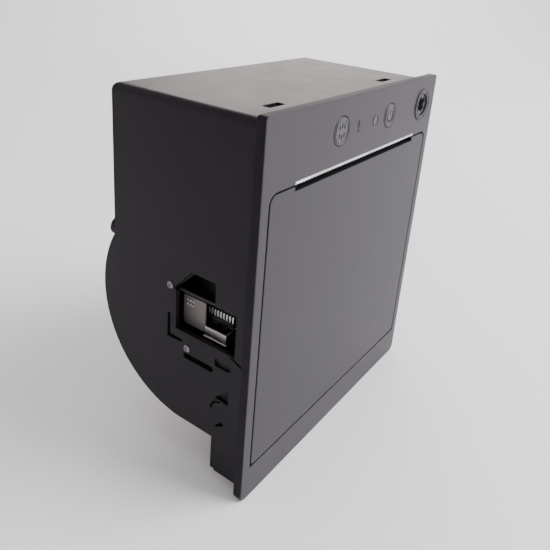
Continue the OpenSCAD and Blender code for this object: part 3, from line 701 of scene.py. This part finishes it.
def finish_piece(piece: bpy.types.Object, body: str, slot: str, finish: Finish | None = None,
                 stands_for: Sequence[str] = ()) -> bpy.types.Object:
    """Dresses a piece in its slot's finish or the given one, ties it to its body and hides the CAD nodes
    that it stands for.

    Args:
        piece: the object.
        body: the CAD body it moves with.
        slot: the record's material slot.
        finish: its finish, if it isn't the slot's own.
        stands_for: CAD nodes that it replaces.

    Returns:
        The piece.
    """
    piece.data.materials.clear()
    piece.data.materials.append(material_of(finish or SLOT_FINISH[slot]))
    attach(piece, body)
    if stands_for:
        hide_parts(*stands_for)
    return piece


def report(group: str, pieces: Sequence[bpy.types.Object]) -> None:
    """Logs each piece that a sub-assembly has made."""
    for piece in pieces:
        LOG.info("%s: %s, %d faces", group, piece.name, len(piece.data.polygons))


def mark_edges(work: bmesh.types.BMesh, sharp: float, spared: Sequence[str], margin: float,
               shortest: float) -> None:
    """Weights a mesh's sharp edges for rounding, except short ones and those close to some nodes.

    Args:
        work: the mesh.
        sharp: least angle between an edge's faces.
        spared: CAD nodes whose surroundings keep their sharp edges.
        margin: how far those surroundings reach past each node's box.
        shortest: least length of an edge that is rounded.
    """
    layer = work.edges.layers.float.new("bevel_weight_edge")
    reach = Vector((margin, margin, margin))
    boxes = [(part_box(node)[0] - reach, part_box(node)[1] + reach) for node in spared]
    for edge in work.edges:
        centre = (edge.verts[0].co + edge.verts[1].co) / 2.0
        near = any(all(low[i] <= centre[i] <= high[i] for i in range(3)) for low, high in boxes)
        wanted = edge.calc_length() >= shortest and len(edge.link_faces) == 2 and not near
        if wanted and edge.calc_face_angle(0.0) > sharp:
            edge[layer] = 1.0


def softened(node: str, edge_mm: float, segments: int = 2, finish: Finish | None = None,
             spared: Sequence[str] = (), clamped: bool = True,
             shortest_mm: float = 0.0) -> bpy.types.Object:
    """Stands for a CAD node with a welded copy whose edges are rounded as a mould leaves them.

    Args:
        node: the CAD node.
        edge_mm: width of the rounding.
        segments: faces across it.
        finish: the copy's finish, if it isn't the slot's own.
        spared: CAD nodes near which its edges stay sharp.
        clamped: whether its smallest feature limits the rounding everywhere.
        shortest_mm: edges shorter than this stay sharp.

    Returns:
        The copy.
    """
    work = bmesh.new()
    work.from_mesh(frame["nodes"][node].data)
    bmesh.ops.remove_doubles(work, verts=work.verts, dist=WELD)
    flat = math.radians(FLAT_DEGREES)
    bmesh.ops.dissolve_limit(work, angle_limit=flat, verts=work.verts, edges=work.edges)
    sharp = math.radians(SHARP_DEGREES)
    mark_edges(work, sharp, spared, SPARED_MARGIN_MM * MM, shortest_mm * MM)
    mesh = bpy.data.meshes.new(f"{node}_finished")
    work.to_mesh(mesh)
    work.free()
    if "custom_normal" in mesh.attributes:
        mesh.attributes.remove(mesh.attributes["custom_normal"])
    mesh.shade_smooth()
    mesh.set_sharp_from_angle(angle=sharp)
    piece = bpy.data.objects.new(f"{node}_finished", mesh)
    bpy.context.scene.collection.objects.link(piece)
    bevel = piece.modifiers.new("edges", "BEVEL")
    bevel.limit_method = "WEIGHT"
    bevel.width = edge_mm * MM
    bevel.segments = segments
    bevel.use_clamp_overlap = clamped
    bevel.harden_normals = True
    return finish_piece(piece, BODY_OF[node], SLOT_OF[node], finish, [node])


def middle(node: str) -> Vector:
    """The middle of a CAD node's box."""
    low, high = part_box(node)
    return (low + high) / 2.0


def dress(nodes: Sequence[str]) -> list[bpy.types.Object]:
    """Gives CAD nodes their slots' finishes, and leaves their shapes alone.

    Args:
        nodes: the CAD nodes.

    Returns:
        Their objects.
    """
    pieces = [frame["nodes"][node] for node in nodes]
    for piece in pieces:
        piece.data.materials.clear()
        piece.data.materials.append(material_of(SLOT_FINISH[SLOT_OF[piece.name]]))
    return pieces


@dataclass
class Shell:
    """The black moulded body, its liner and the pins that the door hangs on."""

    body_edge_mm: float = 0.2
    body_shortest_mm: float = 2.5
    liner_edge_mm: float = 0.2

    def build(self) -> None:
        """Makes the body and the liner, and dresses the pins."""
        body = softened("main_housing", self.body_edge_mm, spared=["hinge_pins"], clamped=False,
                        shortest_mm=self.body_shortest_mm)
        pieces = [body, softened("roll_bucket", self.liner_edge_mm)]
        report("shell", pieces + dress(["hinge_pins"]))


@dataclass
class Front:
    """The grey flange with its cutter strip, and the rim round its status window."""

    edge_mm: float = 0.35
    cutter_edge_mm: float = 0.1
    rim_mm: float = 0.5
    rim_lift_mm: float = 0.2
    window_radius_mm: float = 1.75

    def status_rim(self) -> bpy.types.Object:
        """Raised rim round the status window."""
        low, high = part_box("status_light")
        centre = (low + high) / 2.0
        reach = self.window_radius_mm * MM
        place = (centre.x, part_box("front_bezel")[0].y, centre.z)
        skin = ring(place, reach, self.rim_mm * MM, self.rim_lift_mm * MM)
        return finish_piece(solid_of("status_rim", [skin]), "printer", "bezel_plastic")

    def build(self) -> None:
        """Makes the flange, the cutter strip and the rim."""
        small = ["error_light", "status_light", "tear_bar", "key_escutcheon"]
        flange = softened("front_bezel", self.edge_mm, spared=small, clamped=False)
        cutter = softened("tear_bar", self.cutter_edge_mm)
        report("front", [flange, cutter, self.status_rim()])


@dataclass
class Controls:
    """Push buttons with their marks, the indicators, and the release key."""

    cap_edge_mm: float = 0.4
    key_edge_mm: float = 0.2
    key_ring_edge_mm: float = 0.18
    collar_margin_mm: float = 0.8
    rim_inset_mm: float = 0.85
    rim_mm: float = 0.55
    rim_lift_mm: float = 0.24
    mark_depth_mm: float = 0.3
    mark_lift_mm: float = 0.02
    bar_half_mm: tuple[float, float] = (0.46, 0.88)
    bar_pitch_mm: float = 1.45
    bar_rise_mm: float = 1.35
    bar_step_mm: float = 0.5
    power_half_mm: tuple[float, float] = (0.3, 1.2)
    power_radius_mm: float = 2.15
    power_line_mm: float = 0.6
    power_arc: tuple[float, float] = (128.0, 412.0)
    bead_inset_mm: float = 0.3
    bead_gap_mm: float = 1.5

    def _face(self, node: str) -> tuple[Vector, float, float]:
        """The middle of a button, and the y of its marks' fronts and backs."""
        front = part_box(node)[0].y
        return middle(node), front - self.mark_lift_mm * MM, front + self.mark_depth_mm * MM

    def cap_rim(self, node: str) -> bpy.types.Object:
        """Raised rim near the edge of a button's cap.

        The cap is the collar behind it less the collar's margin.

        Args:
            node: the button's CAD node.

        Returns:
            The rim.
        """
        low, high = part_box(node)
        centre = (low + high) / 2.0
        reach = (high.x - low.x) / 2.0 - (self.collar_margin_mm + self.rim_inset_mm) * MM
        skin = ring((centre.x, low.y, centre.z), reach, self.rim_mm * MM, self.rim_lift_mm * MM)
        return finish_piece(solid_of(f"{node}_rim", [skin]), BODY_OF[node], "button_plastic")

    def feed_marks(self) -> bpy.types.Object:
        """Six short bars, three above the middle and three below, set into the feed button."""
        centre, front, back = self._face("feed_button")
        half = (self.bar_half_mm[0] * MM, self.bar_half_mm[1] * MM)
        spots = [
            (step * self.bar_pitch_mm, side * (self.bar_rise_mm + self.bar_step_mm * (step == 0)))
            for side in (-1, 1) for step in (-1, 0, 1)
        ]
        skins = [
            pad((centre.x + dx * MM, centre.z + dz * MM), half, front, back, 3.0) for dx, dz in spots
        ]
        return finish_piece(solid_of("feed_marks", skins), "feed_key", "sensor_plastic", INK)

    def power_mark(self) -> bpy.types.Object:
        """An open circle with a bar in its gap, set into the power button."""
        centre, front, back = self._face("power_button")
        half = (self.power_half_mm[0] * MM, self.power_half_mm[1] * MM)
        bar = pad((centre.x, centre.z + half[1]), half, front, back, 3.0)
        arc = ring((centre.x, front + 0.05 * MM, centre.z), self.power_radius_mm * MM,
                   self.power_line_mm * MM, 0.14 * MM, self.power_arc)
        return finish_piece(solid_of("power_mark", [bar, arc]), "power_key", "sensor_plastic", INK)

    def key_rim(self) -> bpy.types.Object:
        """The two beads round the release key's ring."""
        low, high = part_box("key_escutcheon")
        centre = (low + high) / 2.0
        outer = (high.x - low.x) / 2.0 - self.bead_inset_mm * MM
        inner = outer - self.bead_gap_mm * MM
        skins = [
            ring((centre.x, low.y + 0.04 * MM, centre.z), outer, 0.6 * MM, 0.20 * MM),
            ring((centre.x, low.y + 0.05 * MM, centre.z), inner, 0.5 * MM, 0.18 * MM),
        ]
        return finish_piece(solid_of("key_rim", skins), "printer", "bezel_plastic")

    def build(self) -> None:
        """Makes the caps, the marks and the key, and dresses what is behind them."""
        caps = ("feed_button", "power_button")
        pieces = [softened(node, self.cap_edge_mm, clamped=False) for node in caps]
        pieces += [self.cap_rim(node) for node in caps]
        pieces.append(softened("key_escutcheon", self.key_ring_edge_mm))
        pieces.append(softened("key_rotor", self.key_edge_mm))
        pieces += [self.feed_marks(), self.power_mark(), self.key_rim()]
        pieces += dress([
            "error_light", "status_light", "key_board", "key_board_screws", "tact_switches",
            "indicator_leds",
        ])
        report("controls", pieces)


@dataclass
class Door:
    """The drop-down door with its frame, and the rubber roller that it carries."""

    panel_edge_mm: float = 0.3
    frame_edge_mm: float = 0.2
    gear_edge_mm: float = 0.08
    bush_edge_mm: float = 0.15
    chamfer_mm: float = 0.5

    def roller(self) -> bpy.types.Object:
        """Rubber sleeve: a turned bar with chamfered ends and a bore for the shaft."""
        low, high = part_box("platen_rubber")
        outer = (high.y - low.y) / 2.0
        bore = (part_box("platen_shaft")[1].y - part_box("platen_shaft")[0].y) / 2.0
        half, cut = (high.x - low.x) / 2.0, self.chamfer_mm * MM
        profile = np.array([
            (-half, bore), (-half, outer - cut), (-half + cut, outer), (-half / 3.0, outer),
            (half / 3.0, outer), (half - cut, outer), (half, outer - cut), (half, bore), (-half, bore),
        ])
        skin = turned(profile, middle("platen_rubber"), (1.0, 0.0, 0.0), 72)
        sleeve = solid_of("roller_sleeve", [skin])
        return finish_piece(sleeve, "platen", "roller_rubber", None, ["platen_rubber"])

    def build(self) -> None:
        """Makes the panel, the frame and the roller, and dresses the rest."""
        pieces = [softened("door_panel", self.panel_edge_mm, clamped=False)]
        pieces += [softened("door_frame", self.frame_edge_mm), self.roller()]
        pieces.append(softened("platen_gear", self.gear_edge_mm))
        pieces.append(softened("platen_bushes", self.bush_edge_mm))
        report("door", pieces + dress(["platen_shaft"]))


@dataclass
class Mechanism:
    """The print mechanism: plates, head, springs, motor, gears and latch."""

    wire_mm: float = 0.35
    head_turns: float = 5.0
    latch_turns: float = 9.0
    plate_edge_mm: float = 0.12
    case_edge_mm: float = 0.25
    gear_edge_mm: float = 0.08

    def head_coils(self) -> bpy.types.Object:
        """Three compression springs between the heat sink and the backing bar."""
        low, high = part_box("head_springs")
        centre = (low + high) / 2.0
        reach = (high.z - low.z) / 2.0 - self.wire_mm * MM
        outer = (high.x - low.x) / 2.0 - reach - self.wire_mm * MM
        skins = [
            coil((x, low.y, centre.z), (x, high.y, centre.z), reach, self.wire_mm * MM, self.head_turns)
            for x in (centre.x - outer, centre.x, centre.x + outer)
        ]
        coils = solid_of("head_coils", skins)
        return finish_piece(coils, "printer", "spring_steel", None, ["head_springs"])

    def latch_coil(self) -> bpy.types.Object:
        """Torsion spring round the latch shaft."""
        low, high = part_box("latch_spring")
        centre = (low + high) / 2.0
        reach = (high.z - low.z) / 2.0 - self.wire_mm * MM
        skin = coil((low.x, centre.y, centre.z), (high.x, centre.y, centre.z), reach,
                    self.wire_mm * MM, self.latch_turns, 0.05)
        spring = solid_of("latch_coil", [skin])
        return finish_piece(spring, "latch", "spring_steel", None, ["latch_spring"])

    def build(self) -> None:
        """Makes the springs and rounds what shows, and dresses the rest."""
        pieces = [self.head_coils(), self.latch_coil()]
        plates = ("mech_plate_left", "mech_plate_right", "latch_hooks")
        cases = ("backing_bar", "paper_guide", "head_heatsink", "stepper_motor")
        fine = ("idler_gear", "motor_pinion", "print_head")
        widths = ((plates, self.plate_edge_mm), (cases, self.case_edge_mm), (fine, self.gear_edge_mm))
        pieces += [softened(node, edge_mm) for nodes, edge_mm in widths for node in nodes]
        pieces += dress([
            "paper_sensor", "near_end_sensor", "head_pivot", "motor_screws", "idler_post", "motor_shaft",
            "latch_shaft",
        ])
        report("mechanism", pieces)


@dataclass
class ScrewHead:
    """Pan-head screw with a cross recess."""

    radius: float
    height: float
    recess_share: float = 0.62
    blade_share: float = 0.15

    def skin(self, centre: Sequence[float]) -> np.ndarray:
        """Head that faces -x.

        Height is a flat dome, one less the fourth power of the radius. The recess takes away
        depth where a point is close to either line of the cross and inside the recess's reach.

        Args:
            centre: the middle of the head's underside.

        Returns:
            The grid of points.
        """
        share = np.concatenate([sweep(0.0, 0.96, 22), [1.0, 1.0, 0.0]])[:, None]
        turn = sweep(0.0, 2.0 * math.pi, 65)[:-1][None]
        y, z = share * np.cos(turn), share * np.sin(turn)
        near = np.minimum(np.abs(y), np.abs(z))
        inside = 1.0 / (1.0 + np.exp((share - self.recess_share) * 40.0))
        groove = inside / (1.0 + np.exp((near - self.blade_share) * 60.0))
        rise = self.height * (1.0 - 0.55 * share**4 - 0.75 * groove)
        rise[-2:] = 0.0
        skin = np.stack([-rise, y * self.radius, z * self.radius], axis=-1)
        return skin + np.array(centre, float)


@dataclass
class InterfaceBay:
    """What shows through the opening in the left wall."""

    head_height_mm: float = 0.7
    head_radius_mm: float = 1.25
    pin_mm: float = 0.5
    pin_pitch_mm: float = 1.27
    solder_mm: float = 0.45
    solder_back_mm: tuple[float, ...] = (5.2, 6.6, 8.0)
    solder_drop_mm: tuple[float, ...] = (1.5, 3.1)
    socket_wall_mm: float = 0.6
    socket_foot_mm: float = 0.3
    socket_skirt_mm: float = 0.5
    tongue_drop_mm: float = 1.1
    frame_edge_mm: float = 0.2
    sheet_edge_mm: float = 0.12
    header_edge_mm: float = 0.15

    def screws(self) -> bpy.types.Object:
        """Two cross-head screws that hold the bay's frame, with their shanks."""
        low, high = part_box("interface_screws")
        head = ScrewHead(self.head_radius_mm * MM, self.head_height_mm * MM)
        reach = head.radius
        seat = low.x + head.height
        spots = [(high.y - reach, high.z - reach), (low.y + reach, low.z + reach)]
        skins = [head.skin((seat, y, z)) for y, z in spots]
        shank = np.array([(0.0, 0.0), (0.0, 0.45), (0.9, 0.45), (1.0, 0.0)]) * (high.x - seat, reach)
        skins += [turned(shank, (seat, y, z), (1.0, 0.0, 0.0), 24) for y, z in spots]
        return finish_piece(solid_of("bay_screws", skins), "printer", "screws", None, ["interface_screws"])

    def pins(self) -> bpy.types.Object:
        """A row of square pins with pointed tops."""
        low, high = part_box("header_pins")
        half = self.pin_mm * MM / 2.0
        count = 1 + round((high.y - low.y - 2.0 * half) / (self.pin_pitch_mm * MM))
        height = np.array([0.0, 0.0, 0.8, 1.0, 1.0])[:, None, None]
        share = np.array([0.0, 1.0, 1.0, 0.45, 0.0])[:, None, None]
        corners = np.array([(-1.0, -1.0), (1.0, -1.0), (1.0, 1.0), (-1.0, 1.0)]) * half
        skins = []
        for y in sweep(low.y + half, high.y - half, count):
            flat = share * corners[None] + np.array(((low.x + high.x) / 2.0, y))
            rise = np.broadcast_to(low.z + height * (high.z - low.z), (5, 4, 1))
            skins.append(np.concatenate([flat, rise], axis=-1))
        return finish_piece(solid_of("bay_pins", skins), "printer", "bright_steel", PIN, ["header_pins"])

    def solder(self) -> bpy.types.Object:
        """Domes of solder along the top of the shield."""
        low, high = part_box("shield_plate")
        run = sweep(0.0, math.pi / 2.0, 6)
        profile = np.stack([np.cos(run), np.sin(run)], axis=1) * self.solder_mm * MM
        spots = [
            (low.y + back * MM, high.z - drop * MM)
            for back in self.solder_back_mm for drop in self.solder_drop_mm
        ]
        skins = [turned(profile, (low.x, y, z), (-1.0, 0.0, 0.0), 16) for y, z in spots]
        return finish_piece(solid_of("shield_solder", skins), "printer", "bright_steel", TIN)

    def tongue(self) -> bpy.types.Object:
        """Black block that fills the socket's mouth to just under its rim.

        The outline is a squarish superellipse in x and y, carried up from the floor of the mouth
        and drawn in a little round the top.

        Returns:
            The block.
        """
        low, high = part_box("usb_socket")
        wall = self.socket_wall_mm * MM
        skirt = self.socket_skirt_mm * MM
        first = np.array((low.x + self.socket_foot_mm * MM + wall, low.y + skirt + wall))
        last = np.array((high.x - wall, high.y - skirt - wall))
        turn = sweep(0.0, 2.0 * math.pi, 41)[:-1]
        outline = np.stack([np.cos(turn), np.sin(turn)], axis=-1)
        outline = np.sign(outline) * np.abs(outline) ** 0.16 * (last - first) / 2.0
        share = np.array([0.0, 0.97, 0.97, 0.92, 0.0])[:, None, None]
        top = high.z - self.tongue_drop_mm * MM
        foot = low.z + 2.0 * wall
        height = np.array([foot, foot, top - 0.3 * MM, top, top])[:, None, None]
        flat = share * outline[None] + (first + last) / 2.0
        skin = np.concatenate([flat, np.broadcast_to(height, (5, 40, 1))], axis=-1)
        return finish_piece(solid_of("socket_tongue", [skin]), "printer", "sensor_plastic", INK)

    def build(self) -> None:
        """Makes the screws, pins and solder, and rounds the frame and the sockets."""
        pieces = [self.screws(), self.pins(), self.solder(), self.tongue()]
        pieces.append(softened("interface_frame", self.frame_edge_mm))
        pieces.append(softened("usb_socket", self.sheet_edge_mm, 2, TIN))
        pieces.append(softened("shield_plate", self.sheet_edge_mm, 2, SHIELD))
        pieces.append(softened("pin_header", self.header_edge_mm))
        pieces += dress(["interface_board", "power_socket"])
        frame["nodes"]["interface_board"].data.materials[0] = material_of(DARK_BOARD)
        report("interface bay", pieces)


@dataclass
class Electronics:
    """The main board under the roof, with its larger parts and flat cables."""

    chip_edge_mm: float = 0.2
    can_edge_mm: float = 0.4

    def build(self) -> None:
        """Rounds the parts that have moulded cases, and dresses the rest."""
        pieces = [softened("board_chips", self.chip_edge_mm)]
        pieces.append(softened("board_capacitors", self.can_edge_mm, 3))
        pieces += dress(["main_board", "board_screws", "button_ribbon", "head_ribbon"])
        report("electronics", pieces)


# ---------------------------------------------------------------- studio


@dataclass
class SoftBox:
    """A large square lamp that looks at the object."""

    name: str
    place: Colour
    side: float
    watts: float
    colour: Colour = (1.0, 1.0, 1.0)

    def build(self, target: Vector) -> None:
        """Makes the lamp and points it at the target."""
        lamp = bpy.data.lights.new(self.name, "AREA")
        lamp.shape = "SQUARE"
        lamp.size = self.side
        lamp.energy = self.watts
        lamp.color = self.colour
        holder = bpy.data.objects.new(self.name, lamp)
        holder.visible_camera = False
        bpy.context.scene.collection.objects.link(holder)
        holder.location = self.place
        holder.rotation_euler = (target - Vector(self.place)).to_track_quat("-Z", "Y").to_euler()


@dataclass
class Studio:
    """Pale floor, soft light and the camera."""

    flat_radius: float = 1.1
    cove: float = 0.9
    wall_height: float = 1.6
    eye: Colour = (-0.17922, -0.09089, 0.10193)
    right: Colour = (0.5714, -0.8168, 0.0792)
    ahead: Colour = (0.7818, 0.5124, -0.3553)
    lens_mm: float = 39.453
    shift: tuple[float, float] = (-0.0203, -0.1462)
    sky: Colour = (0.86, 0.85, 0.87)
    sky_strength: float = 0.38

    def floor(self) -> None:
        """Pale bowl round the object.

        It is a surface of revolution: flat out to one radius, a quarter circle up from there, and
        then a straight wall.
        """
        bend = sweep(0.0, math.pi / 2.0, 17)
        wall = self.flat_radius + self.cove
        radius = np.concatenate([[0.0, 0.3], self.flat_radius + self.cove * np.sin(bend), [wall]])
        height = np.concatenate([[0.0, 0.0], self.cove * (1.0 - np.cos(bend)), [self.wall_height]])
        profile = np.stack([height, radius], axis=1)
        skin = turned(profile, (0.0, 0.0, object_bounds()[0][2]), (0.0, 0.0, 1.0), 96)
        ground = solid_of("floor", [skin], capped=False)
        ground.data.materials.append(material_of(GROUND))
        ground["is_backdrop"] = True

    def camera(self) -> None:
        """Camera from its place and two of its directions; the third is square to both."""
        right = Vector(self.right).normalized()
        back = -Vector(self.ahead).normalized()
        up = back.cross(right).normalized()
        lens = bpy.data.cameras.new("camera")
        lens.lens = self.lens_mm
        lens.sensor_width = 36.0
        lens.shift_x, lens.shift_y = self.shift
        lens.clip_start = 0.01
        holder = bpy.data.objects.new("camera", lens)
        turn = Matrix((right, up, back)).transposed().to_4x4()
        holder.matrix_world = Matrix.Translation(self.eye) @ turn
        bpy.context.scene.collection.objects.link(holder)
        bpy.context.scene.camera = holder

    def light(self) -> None:
        """Even pale surroundings, a key from the right, one behind for the roof's sheen, one above."""
        world = bpy.data.worlds.new("surroundings")
        world.use_nodes = True
        sky = world.node_tree.nodes["Background"]
        sky.inputs["Color"].default_value = (*self.sky, 1.0)
        sky.inputs["Strength"].default_value = self.sky_strength
        bpy.context.scene.world = world
        target = Vector((0.0, 0.02, 0.0))
        SoftBox("key", (0.55, -0.80, 0.90), 0.9, 32.0, (0.99, 0.96, 1.0)).build(target)
        SoftBox("back", (1.25, 0.80, 0.75), 1.1, 16.0, (1.0, 0.94, 0.88)).build(target)
        SoftBox("top", (0.15, 0.1, 1.7), 1.4, 8.0).build(target)

    def build(self) -> None:
        """Makes the floor, the camera and the lights."""
        self.floor()
        self.camera()
        self.light()
        LOG.info("studio: floor, camera and lights")


def main() -> None:
    """Builds the sub-assemblies in order."""
    logging.basicConfig(level=logging.INFO, format="%(message)s")
    groups = (Studio, Shell, Front, Controls, Door, Mechanism, InterfaceBay, Electronics)
    for group in groups:
        group().build()


if __name__ == "__main__":
    main()
